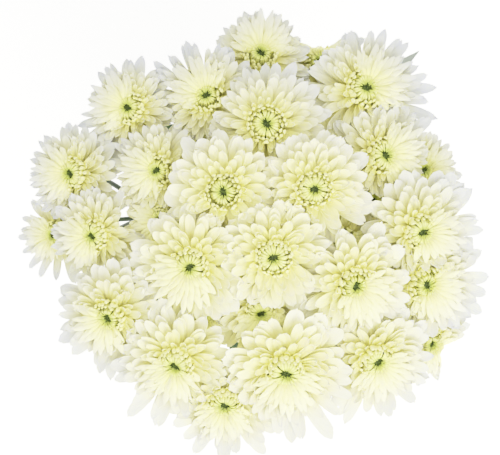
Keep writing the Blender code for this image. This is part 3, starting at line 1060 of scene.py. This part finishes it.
# sprays: the same routes as in the CAD, lengths in metres
stems = {
    # the sprays, how far out they cross, their radius, how far up they branch, whether they have leaves
    "rings": (
        (("inner_east", "inner_north", "inner_south"), 0.0034, 0.0027, 0.74, False),
        (("east", "north_east", "north", "north_west", "west", "south_west", "south", "south_east"),
         0.0091, 0.0024, 0.58, True),
    ),
    "spiralLag": math.radians(86),
    "firstStalkDrop": 0.004,
    "stalkSpacing": 0.014,
    "stalkRadius": 0.0014,
    "stalkSwell": (1.25, 1.15, 1.0, 1.0, 1.2),
    "sides": 18,
    "stalkSides": 12,
    "ribs": 6,
    "ribDepth": 0.08,
    "ribTint": 0.25,
    "nodeSwell": 0.16,
    "nodeSpacing": 0.031,
    "nodeLength": 0.0022,
    "plainWaist": 0.02,  # to either side of the tie there are no nodes
    "taper": 0.15,
    "steps": 90,
    "stalkSteps": 22,
    "handle": 0.4,  # how far along its way a stalk keeps its first direction
}

# the green cup under each bloom, with three rows of small scales
calyx = {
    "radiusShare": 0.20,
    "height": 0.0055,
    "seatGap": 0.0003,
    "scalesInRow": 13,
    # the cup's outline, in shares of its radius and its height
    "outline": ((0.55, 0.10), (0.85, 0.35), (0.97, 0.7), (1.0, 1.0)),
    "sides": 24,
    # height on the cup, share of the cup's radius, scale's length and half width in metres, lean
    "rows": (
        (0.0010, 0.60, 0.0036, 0.0011, 0.55),
        (0.0024, 0.86, 0.0044, 0.0014, 0.22),
        (0.0040, 0.97, 0.0050, 0.0016, 0.06),
    ),
    "thickness": 0.0005,
    "scaleSides": 8,
    "scaleTip": 0.15,  # of its half width
    "scaleMiddle": 0.42,  # of its length
    "tint": (0.2, 0.6),  # how pale the cup is at its foot, and how much paler at its rim
}

leaves = {
    "length": 0.058,
    "width": 0.036,
    "arch": 0.10,
    "droop": 0.22,
    "fold": 0.16,
    "thickness": 0.00035,
    # half width along the length: two pairs of lobes and the tip lobe
    "edge": (
        (0.0, 0.07), (0.14, 0.08), (0.27, 0.62), (0.36, 0.30), (0.53, 1.0),
        (0.60, 0.42), (0.77, 0.78), (0.82, 0.36), (1.0, 0.02),
    ),
    "forward": 0.07,  # how far the lobes point to the tip
    "teeth": 0.12,
    "teethCount": 13,
    "edgeGrowth": (1.5, 4),  # how fast the lobes start to point forward, and the teeth start to show
    "ruffle": 0.05,
    "ruffleWaves": (22, 2.5),  # along and across the leaf, in radians
    "rufflePhase": 6.28,  # where they start is anywhere up to this
    "rows": 52,
    "lanes": 8,
    "midribSteps": 12,
    "midribReach": 0.92,
    "midribRadius": 0.0011,
    "midribTaper": 0.75,
    "midribSunk": 0.0004,
    "midribSides": 8,
    # share of the way from the tie to the branches, turn in degrees, rise, size
    "onStems": (
        ((0.50, -26, 0.28, 1.0), (0.84, 28, 0.28, 0.9)),
        ((0.66, 24, 0.28, 1.05), (0.97, -20, 0.28, 0.8)),
    ),
    "top": (-35, 0.2, 0.62),
    # degrees that a leaf may swing aside to leave the openings free, by this many millimetres
    "swings": (0, 8, -8, 16, -16, 24, -24, 32, -32),
    "clear": 4.0,
    "cramped": 0.8,  # the size of a leaf that can't leave them free
    # the spots of a blade that are tried, in shares of its length and width
    "along": (0.25, 0.45, 0.65, 0.85, 1.0),
    "across": (-0.4, 0.0, 0.4),
    # the narrow leaf whose tip shows past the blooms: where it ends, across the bunch
    "tipSeen": {"north_east": (0.1045, 0.1138)},
    "slimWidth": 0.40,
    # how much painted sheen that leaf's tip has
    "slimPaintedSheen": 0.7,
}


def curveBetween(start, startWay, end, endWay, count):
    reach = (end - start).length * stems["handle"]
    second, third = start + startWay * reach, end - endWay * reach
    points = []
    for k in range(count):
        t = k / (count - 1)
        u = 1 - t
        points.append(start * u ** 3 + second * 3 * u * u * t + third * 3 * u * t * t + end * t ** 3)
    return points


# a closed ribbed tube through the points; the radius is asked for at each share of the length
def addStem(bm, stemLayer, points, radiusAt, sides, levelStart=False):
    last = len(points) - 1
    way, facing = Vector((0, 0, 1)), Quaternion()
    loops = []
    caps = []
    far = 0.0
    before = set(bm.faces)
    for k, point in enumerate(points):
        ahead = (points[min(k + 1, last)] - points[max(k - 1, 0)]).normalized()
        if levelStart and k == 0:
            ahead = Vector((0, 0, 1))
        facing = way.rotation_difference(ahead) @ facing
        way = ahead
        far += (point - points[max(k - 1, 0)]).length
        ring = bmesh.ops.create_circle(bm, segments=sides, radius=1.0, cap_ends=k in (0, last))
        if k == 0:
            caps = [face for vert in ring["verts"][:1] for face in vert.link_faces]
        radius = radiusAt(k / last)
        for vert in ring["verts"]:
            around = math.atan2(vert.co.y, vert.co.x)
            ridge = math.cos(stems["ribs"] * around)
            vert.co = point + facing @ (vert.co * radius * (1 + stems["ribDepth"] * ridge))
            vert[stemLayer] = (around / (2 * math.pi) + 0.5, far, stems["ribTint"] * (1 + ridge))
        loops.append({edge for vert in ring["verts"] for edge in vert.link_edges})
    for low, high in zip(loops, loops[1:]):
        bmesh.ops.bridge_loops(bm, edges=list(low | high))
    made = list(set(bm.faces) - before)
    for face in made:
        face.smooth = len(face.verts) == 4
    bmesh.ops.recalc_face_normals(bm, faces=made)
    return caps


# the ways that are across a leaf and up from it
def leafSides(way):
    across = way.cross(Vector((0, 0, 1))).normalized()
    return across, across.cross(way).normalized()


# how far a leaf has risen at each share of its length
def leafRise(u):
    return leaves["arch"] * math.sin(math.pi * u) - leaves["droop"] * u * u


# one leaf: a grid with a lobed and toothed edge, folded along its middle and ruffled
def addLeaf(bm, layers, root, way, size, paintedSheen, draw):
    uvLayer, placeLayer = layers
    across, up = leafSides(way)
    length, half = leaves["length"] * size, leaves["width"] * size / 2
    if paintedSheen:
        half *= leaves["slimWidth"]
    lanes, rows = leaves["lanes"], leaves["rows"]
    made = bmesh.ops.create_grid(bm, x_segments=lanes, y_segments=rows, size=1.0)
    phase = draw.uniform(0, leaves["rufflePhase"])
    wavesAlong, wavesAcross = leaves["ruffleWaves"]
    forwardGrowth, teethGrowth = leaves["edgeGrowth"]
    for vert in made["verts"]:
        v = vert.co.x
        u = (vert.co.y + 1) / 2
        saw = (u * leaves["teethCount"]) % 1.0
        wide = between(leaves["edge"], u)
        toothed = wide * (1 + leaves["teeth"] * (saw - 0.5) * min(1.0, u * teethGrowth))
        ahead = u + leaves["forward"] * v * v * min(1.0, wide * forwardGrowth) * (1 - u)
        lift = length * leafRise(ahead) + leaves["fold"] * abs(v) * toothed * half
        ripple = math.sin(phase + wavesAlong * u + wavesAcross * v)
        lift += leaves["ruffle"] * half * wide * abs(v) * ripple
        vert.co = root + way * ahead * length + across * v * toothed * half + up * lift
        vert[placeLayer] = (0.0, paintedSheen, 0.0)
    finishGrid(made["verts"], uvLayer, lanes, [row / rows for row in range(rows + 1)], slot=1)


# the leaf stalk and midrib, a thin round ridge under the blade
def addMidrib(bm, stemLayer, root, way, size):
    up = leafSides(way)[1]
    length = leaves["length"] * size
    points = []
    for k in range(leaves["midribSteps"] + 1):
        u = k / leaves["midribSteps"] * leaves["midribReach"]
        points.append(root + way * u * length + up * (length * leafRise(u) - leaves["midribSunk"]))
    radius = leaves["midribRadius"] * size
    addStem(bm, stemLayer, points, lambda t: radius * (1 - leaves["midribTaper"] * t), leaves["midribSides"])


# where a bloom's cup stands on its stalk
def neckOf(head):
    return head.base - head.axis * (calyx["seatGap"] + calyx["height"])


# a closed cup under the bloom, covered with overlapping pointed scales
def addCalyx(bm, stemLayer, head):
    cup = calyx["radiusShare"] * head.radius
    high = calyx["height"]
    before = set(bm.verts)
    rim = [(cup * out, high * up) for out, up in calyx["outline"]]
    places = [(0.0, 0.0), (stems["stalkRadius"], 0.0), *rim, (0.0, high)]
    profile = [bm.verts.new((radius, 0, height)) for radius, height in places]
    edges = [bm.edges.new(pair) for pair in zip(profile, profile[1:])]
    bmesh.ops.spin(bm, geom=profile + edges, cent=(0, 0, 0), axis=(0, 0, 1), angle=2 * math.pi,
                   steps=calyx["sides"], use_merge=True)
    for row, (height, share, length, halfWidth, lean) in enumerate(calyx["rows"]):
        for k in range(calyx["scalesInRow"]):
            angle = 2 * math.pi * (k + row / 2) / calyx["scalesInRow"]
            upright = Matrix.Rotation(angle, 4, "Z") @ Matrix.Translation((cup * share, 0, height))
            flattened = Matrix.Diagonal((calyx["thickness"] / halfWidth, 1, 1, 1))
            upright = upright @ Matrix.Rotation(lean, 4, "Y") @ flattened
            upright = upright @ Matrix.Translation((0, 0, length * calyx["scaleMiddle"]))
            bmesh.ops.create_cone(bm, segments=calyx["scaleSides"], radius1=halfWidth, depth=length,
                                  radius2=halfWidth * calyx["scaleTip"], cap_ends=True, matrix=upright)
    made = [vert for vert in bm.verts if vert not in before]
    bmesh.ops.remove_doubles(bm, verts=made, dist=1e-6)
    made = [vert for vert in bm.verts if vert not in before]
    foot, more = calyx["tint"]
    for vert in made:
        vert[stemLayer] = (math.atan2(vert.co.y, vert.co.x), vert.co.z, foot + more * vert.co.z / high)
    faces = {face for vert in made for face in vert.link_faces}
    for face in faces:
        face.smooth = True
    bmesh.ops.recalc_face_normals(bm, faces=list(faces))
    bmesh.ops.transform(bm, matrix=standing(neckOf(head), head.axis), verts=made)


# whether a leaf's blade, seen from above, leaves the openings between the blooms free
def keepsClear(root, way, size):
    across = Vector((way.y, -way.x)).normalized()
    for along in leaves["along"]:
        for side in leaves["across"]:
            spot = root.xy + way.xy * along * leaves["length"] * size + across * side * leaves["width"] * size
            for x, y, wide in leafOpenings:
                if (spot - Vector((x, y)) / 1000).length < (wide + leaves["clear"]) / 1000:
                    return False
    return True


def turnedWay(outward, degrees, rise):
    swing = Matrix.Rotation(math.radians(degrees), 3, "Z")
    return (swing @ outward + Vector((0, 0, rise))).normalized()


# the first way near the wanted one that leaves the openings free, and whether there is one
def freeWay(root, outward, turn, rise, size):
    for swing in leaves["swings"]:
        way = turnedWay(outward, turn + swing, rise)
        if keepsClear(root, way, size):
            return way, True
    return turnedWay(outward, turn, rise), False


# each leaf's root, way, size and share of painted sheen
def planLeaves(name, members, routes, waist, branch, outward, onStem):
    sprigs = []
    for along, turn, rise, size in onStem:
        root = waist + (branch - waist) * along
        leafWay, free = freeWay(root, outward, turn, rise, size)
        sprigs.append((root, leafWay, size if free else size * leaves["cramped"], 0.0))
    if onStem:
        outermost = max(members, key=lambda head: head.base.dot(outward))
        root = curveBetween(*routes[outermost.name], 5)[3]  # three quarters of the way up the stalk
        turn, rise, size = leaves["top"]
        leafWay, paintedSheen = freeWay(root, outward, turn, rise, size)[0], 0.0
        if name in leaves["tipSeen"]:
            reach = Vector(leaves["tipSeen"][name]) - root.xy
            leafWay, size = Vector((*reach.normalized(), 0)), reach.length / leaves["length"]
            paintedSheen = leaves["slimPaintedSheen"]
        sprigs.append((root, leafWay, size, paintedSheen))
    return sprigs


# a spray: its stem, the stalks that branch from it, their cups, and its leaves
def buildSpray(name, members, aim, waist, radius, share, onStem):
    draw = random.Random(len(name) * 31 + len(members))
    way = (aim - waist).normalized()
    foot = waist - way * (waist.z / way.z)
    branch = waist + (aim - waist) * share
    stemLength = (branch - foot).length
    outward = Vector((way.x, way.y, 0)).normalized()

    routes = {}
    farFirst = sorted(members, key=lambda head: (head.base - branch).length, reverse=True)
    for k, head in enumerate(farFirst):
        start = branch - way * (stems["firstStalkDrop"] + stems["stalkSpacing"] * k)
        leave = (way + (head.base - start).normalized()).normalized()
        routes[head.name] = (start, leave, neckOf(head), head.axis)

    # leaves first, because the thickening takes every face there is
    bm = bmesh.new()
    layers = (bm.loops.layers.uv.new("petalUv"), bm.verts.layers.float_vector.new("leafPlace"))
    stemLayer = bm.verts.layers.float_vector.new("stemPlace")
    bm.verts.layers.float_vector.new("way")
    sprigs = planLeaves(name, members, routes, waist, branch, outward, onStem)
    for root, leafWay, size, paintedSheen in sprigs:
        addLeaf(bm, layers, root, leafWay, size, paintedSheen, draw)
    if sprigs:
        for vert in thicken(bm, leaves["thickness"]):
            vert[layers[1]] = (1.0, vert[layers[1]].y, 0.0)
    for root, leafWay, size, paintedSheen in sprigs:
        addMidrib(bm, stemLayer, root, leafWay, size)

    def stemRadius(t):
        near = t * stemLength
        swell = 0.0
        if abs(near - (waist - foot).length) > stems["plainWaist"]:
            gap = (near % stems["nodeSpacing"]) - stems["nodeSpacing"] / 2
            swell = stems["nodeSwell"] * math.exp(-(gap / stems["nodeLength"]) ** 2)
        return radius * (1.0 - stems["taper"] * max(0.0, t - 0.5) * 2) * (1 + swell)

    stemPoints = [foot.lerp(branch, k / (stems["steps"] - 1)) for k in range(stems["steps"])]
    for face in addStem(bm, stemLayer, stemPoints, stemRadius, stems["sides"], levelStart=True):
        face.material_index = 2
    swells = [(k / 4, swell) for k, swell in enumerate(stems["stalkSwell"])]

    def stalkRadius(t):
        return stems["stalkRadius"] * between(swells, t)

    for head in farFirst:
        points = curveBetween(*routes[head.name], stems["stalkSteps"])
        addStem(bm, stemLayer, points, stalkRadius, stems["stalkSides"])
        addCalyx(bm, stemLayer, head)
    piece = addObject("stems_" + name, bm, (stemMaterial, leafMaterial, pithMaterial))
    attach(piece, "root")
    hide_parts("spray_" + name)
    return len(piece.data.polygons)


# a ring of sprays, spaced evenly round the tie and each a little nearer to its own blooms
def buildRing(names, waistRadius, stemRadius, share, leafy):
    total = 0
    for k, name in enumerate(names):
        members = [head for head in heads if head.spray == name]
        aim = sum((head.base for head in members), Vector()) / len(members)
        even = 2 * math.pi * k / len(names)
        off = math.remainder(math.atan2(aim.y, aim.x) - even, 2 * math.pi)
        angle = even + off / 2 - stems["spiralLag"]
        waist = Vector((math.cos(angle) * waistRadius, math.sin(angle) * waistRadius, bunch["tieHeight"]))
        picked = leaves["onStems"][k % len(leaves["onStems"])] if leafy else ()
        total += buildSpray(name, members, aim, waist, stemRadius, share, picked)
    return total


greenTotal = sum(buildRing(*ring) for ring in stems["rings"])
print("sprays built with", greenTotal, "faces")


# jute twine wound round the stems where they cross
twine = {
    "turns": 3.75,
    "pitch": 0.0020,
    "centre": 0.01352,  # metres from the bunch's axis
    "radius": 0.00096,
    "strands": 3,
    "strandDepth": 0.16,
    "twistLength": 0.0026,
    "stepsInTurn": 200,
    "sides": 14,
    "knotRadius": 0.0016,
    "knotTurns": 1.6,
    "knotAt": math.radians(-60),
    "knotOut": 0.0012,
    "colours": ((0.30, (0.250, 0.165, 0.080)), (0.68, (0.560, 0.420, 0.240))),
    "fibre": (1500.0, 5.0),
    "fibreShare": 0.7,
    "crestShare": 0.3,
    "bump": (0.7, 0.0003),
    "looks": {"Roughness": 0.9, "Sheen Weight": 0.3},
}


def buildTwineMaterial():
    made, nodes, links, shader = newNodeMaterial("juteTwine", twine["looks"])
    noise = addNoise(nodes, links, objectPlace(nodes), *twine["fibre"])
    crest = readValues(nodes, links, "stemPlace")[2]
    crests = addMath(nodes, links, "MULTIPLY", crest, twine["crestShare"])
    # the strands' crests are lighter than the hollows between them
    fibreAndCrests = addMath(nodes, links, "MULTIPLY_ADD", noise, twine["fibreShare"], crests)
    links.new(addRamp(nodes, links, fibreAndCrests, twine["colours"]), shader.inputs["Base Color"])
    addBump(nodes, links, shader, noise, *twine["bump"])
    return made


# a twisted strand wound as a screw about an upright axis, with closed ends
def addWinding(bm, layer, middle, radius, windings, pitch):
    before = set(bm.verts)
    steps = round(twine["stepsInTurn"] * windings)
    upright = Matrix.Translation((radius, 0, -windings * pitch / 2)) @ Matrix.Rotation(math.pi / 2, 4, "X")
    ring = bmesh.ops.create_circle(bm, segments=twine["sides"], radius=twine["radius"], matrix=upright)
    edges = list({edge for vert in ring["verts"] for edge in vert.link_edges})
    climb = Vector((0, 0, pitch / twine["stepsInTurn"]))
    end = bmesh.ops.spin(bm, geom=edges, cent=(0, 0, 0), axis=(0, 0, 1), dvec=climb,
                         angle=2 * math.pi * windings, steps=steps, use_merge=False)
    lastEdges = [part for part in end["geom_last"] if isinstance(part, bmesh.types.BMEdge)]
    for rim in (edges, lastEdges):
        bmesh.ops.contextual_create(bm, geom=rim)
    made = [vert for vert in bm.verts if vert not in before]
    for vert in made:
        around = math.atan2(vert.co.y, vert.co.x)
        out = math.hypot(vert.co.x, vert.co.y) - radius
        # which winding the point is on, from its height
        turn = round((vert.co.z + windings * pitch / 2) / pitch - around / (2 * math.pi))
        far = (turn + around / (2 * math.pi)) * 2 * math.pi * radius
        centreZ = (turn + around / (2 * math.pi)) * pitch - windings * pitch / 2
        spin = math.atan2(vert.co.z - centreZ, out)
        crest = math.cos(twine["strands"] * spin + 2 * math.pi * far / twine["twistLength"])
        grow = 1 + twine["strandDepth"] * (crest - 1) / 2
        flat = Vector((math.cos(around), math.sin(around), 0))
        size = math.hypot(vert.co.z - centreZ, out) * grow
        vert.co = flat * (radius + size * math.cos(spin)) + Vector((0, 0, centreZ + size * math.sin(spin)))
        vert[layer] = (around, far, 0.5 + 0.5 * crest)
    faces = list({face for vert in made for face in vert.link_faces})
    for face in faces:
        face.smooth = True
    bmesh.ops.recalc_face_normals(bm, faces=faces)
    bmesh.ops.transform(bm, matrix=middle, verts=made)


def buildTie():
    bm = bmesh.new()
    layer = bm.verts.layers.float_vector.new("stemPlace")
    middle = Matrix.Translation((0, 0, bunch["tieHeight"]))
    addWinding(bm, layer, middle, twine["centre"], twine["turns"], twine["pitch"])
    out = Matrix.Translation((twine["centre"] + twine["knotOut"], 0, 0))
    lying = middle @ Matrix.Rotation(twine["knotAt"], 4, "Z") @ out @ Matrix.Rotation(math.pi / 2, 4, "X")
    addWinding(bm, layer, lying, twine["knotRadius"], twine["knotTurns"], twine["pitch"])
    piece = addObject("wound_twine", bm, [buildTwineMaterial()])
    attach(piece, "root")
    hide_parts("twine_tie")


buildTie()
print("tie built")


# the floor, the light and the camera
studio = {
    "floorHalf": 12.0,
    "floorColour": (0.90, 0.90, 0.90),
    "floorPatches": 4.0,
    "floorFade": 0.99,
    "floorLooks": {
        "Roughness": 0.9, "Specular IOR Level": 0.0,
        "Emission Color": (1.0, 1.0, 1.0, 1.0), "Emission Strength": 0.52,
    },
    # the room from level to straight up
    "sky": ((0.0, (0.66, 0.68, 0.71)), (0.45, (0.84, 0.84, 0.83)), (1.0, (1.0, 0.985, 0.95))),
    "worldStrength": 0.95,
    "keyPlace": (0.55, -1.20, 1.55),
    "keySize": 1.5,
    "keyPower": 15.0,
    "fillPlace": (-0.5, 1.1, 1.9),
    "fillSize": 1.6,
    "fillPower": 0.2,
    "aim": (0.0, 0.0, 0.25),
    # opens up the shade between the petals and holds the highlights, as in a bright catalogue picture
    "tone": (
        (0.200, 0.355), (0.320, 0.520), (0.513, 0.700), (0.685, 0.790),
        (0.843, 0.850), (1.0, 0.915), (1.3, 1.0),
    ),
}


def addFloor():
    bm = bmesh.new()
    bmesh.ops.create_grid(bm, x_segments=1, y_segments=1, size=studio["floorHalf"])
    made, nodes, links, shader = newNodeMaterial("paleFloor", studio["floorLooks"])
    noise = addNoise(nodes, links, objectPlace(nodes), studio["floorPatches"])
    pale = studio["floorColour"]
    faded = tuple(part * studio["floorFade"] for part in pale)
    coloured = addRamp(nodes, links, noise, ((0.3, faded), (0.7, pale)))
    links.new(coloured, shader.inputs["Base Color"])
    floor = addObject("floor", bm, [made])


def addSoftLight(name, place, size, power):
    light = bpy.data.lights.new(name, "AREA")
    light.shape = "DISK"
    light.size = size
    light.energy = power
    lamp = bpy.data.objects.new(name, light)
    lamp.location = place
    lamp.rotation_euler = (Vector(studio["aim"]) - Vector(place)).to_track_quat("-Z", "Y").to_euler()
    lamp.visible_camera = False
    collection.objects.link(lamp)


# a pale room, brighter and warmer overhead than at the sides
def setRoom():
    world = bpy.data.worlds.new("paleRoom")
    world.use_nodes = True
    nodes, links = world.node_tree.nodes, world.node_tree.links
    height = splitVector(nodes, links, nodes.new("ShaderNodeTexCoord").outputs["Generated"])[2]
    links.new(addRamp(nodes, links, height, studio["sky"]), nodes["Background"].inputs["Color"])
    nodes["Background"].inputs["Strength"].default_value = studio["worldStrength"]
    bpy.context.scene.world = world


def setTone():
    settings = bpy.context.scene.view_settings
    settings.view_transform = "Standard"
    settings.use_curve_mapping = True
    tone = settings.curve_mapping
    tone.use_clip = False
    tone.extend = "EXTRAPOLATED"
    combined = tone.curves[3]  # the curve for all three colours together
    combined.points[1].location = studio["tone"][-1]
    for place in studio["tone"][:-1]:
        combined.points.new(*place)
    tone.update()


addFloor()
setTone()
addSoftLight("keyLight", studio["keyPlace"], studio["keySize"], studio["keyPower"])
addSoftLight("fillLight", studio["fillPlace"], studio["fillSize"], studio["fillPower"])
setRoom()

# straight down on the blooms, 0.62 mm to a pixel of a picture 500 by 455 pixels
view = {
    "perPixel": 0.00062,
    "width": 500,
    "height": 455,
    "middle": (252.5, 232.5),  # the pixel over the bunch's middle
    "distance": 6.0,
    "bloomTop": 0.32,
}


def addCamera():
    data = bpy.data.cameras.new("camera")
    data.sensor_width = 36.0
    data.lens = data.sensor_width * view["distance"] / (view["width"] * view["perPixel"])
    camera = bpy.data.objects.new("camera", data)
    right = (view["width"] / 2 - view["middle"][0]) * view["perPixel"]
    back = (view["middle"][1] - view["height"] / 2) * view["perPixel"]
    camera.location = (right, back, view["bloomTop"] + view["distance"])
    collection.objects.link(camera)
    bpy.context.scene.camera = camera


addCamera()
print("floor, light and camera ready")

triangles = {}
for piece in collection.objects:
    if piece.type == "MESH" and piece.name not in cadNodes and piece.name != "floor":
        triangles[piece.name] = sum(len(face.vertices) - 2 for face in piece.data.polygons)
print("triangles in all:", sum(triangles.values()), "most in one piece:", max(triangles.values()))
